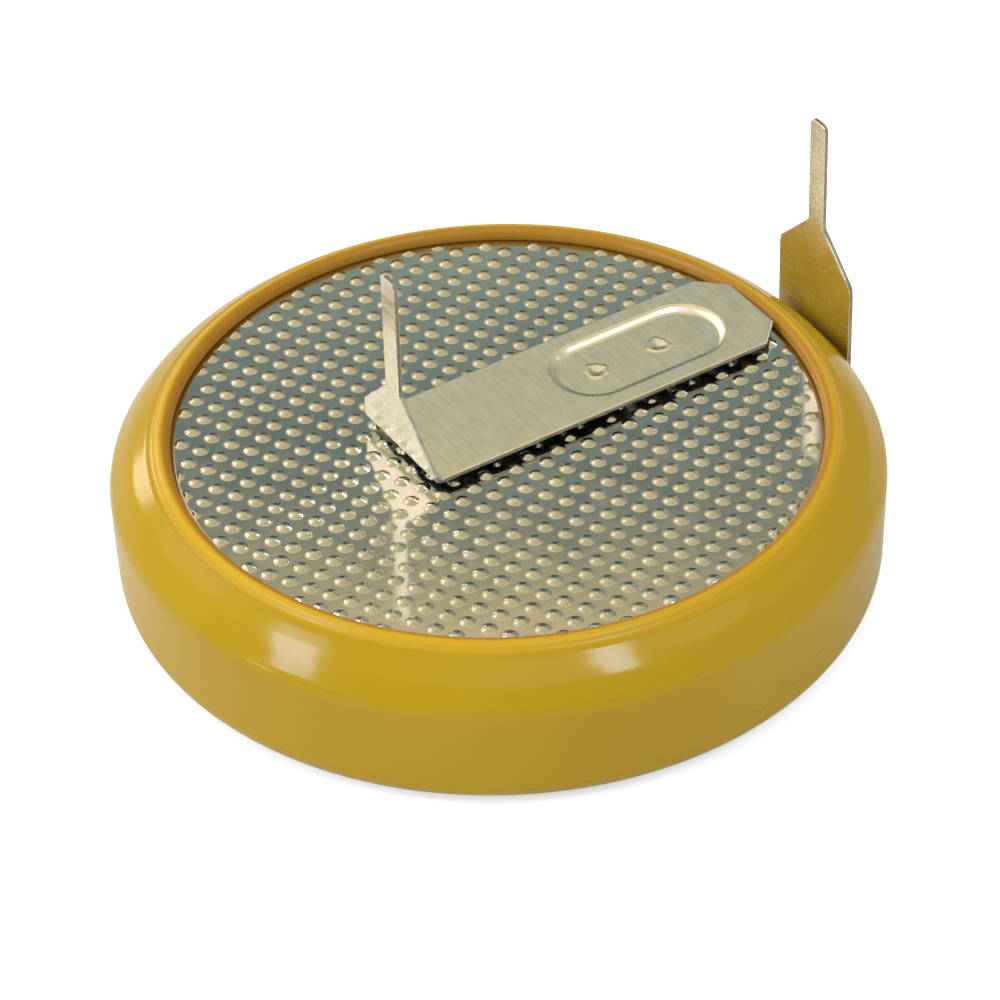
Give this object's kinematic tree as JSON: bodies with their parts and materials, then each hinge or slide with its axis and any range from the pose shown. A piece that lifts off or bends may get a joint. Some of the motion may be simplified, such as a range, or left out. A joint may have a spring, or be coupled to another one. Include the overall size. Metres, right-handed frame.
{
  "type": "tabbed lithium coin cell",
  "caption": "Round flat lithium cell in a yellow shrink sleeve, with a dimpled negative cap and two welded solder tabs whose pins stand up for board mounting.",
  "frame": {"origin": "on the cell's axis, on the plane of the positive tab's flat underside, which the part rests on", "axes": "+Z along the cell's axis, out of the dimpled negative cap; +X along both solder tabs, from the negative pin towards the positive pin"},
  "size_m": [0.025, 0.0248, 0.0118],
  "materials": {
    "can_steel": "nickel-plated steel, drawn, satin",
    "ring_steel": "stainless steel, plain",
    "cathode_mix": "pressed black powder, matt",
    "separator_felt": "white non-woven felt",
    "lithium": "dull silver-grey soft metal",
    "gasket_plastic": "translucent off-white plastic",
    "cap_steel": "bright nickel-plated steel with a grid of small round dimples",
    "sleeve_film": "glossy yellow heat-shrink film",
    "tab_steel": "nickel-plated strip, satin, finely brushed along its length"
  },
  "bodies": {
    "root": {"positive_can": "can_steel", "cathode_ring": "ring_steel", "cathode_pellet": "cathode_mix", "separator": "separator_felt", "lithium_anode": "lithium", "gasket": "gasket_plastic", "negative_cap": "cap_steel", "shrink_sleeve": "sleeve_film", "positive_tab": "tab_steel", "negative_tab": "tab_steel"}
  },
  "joints": []
}
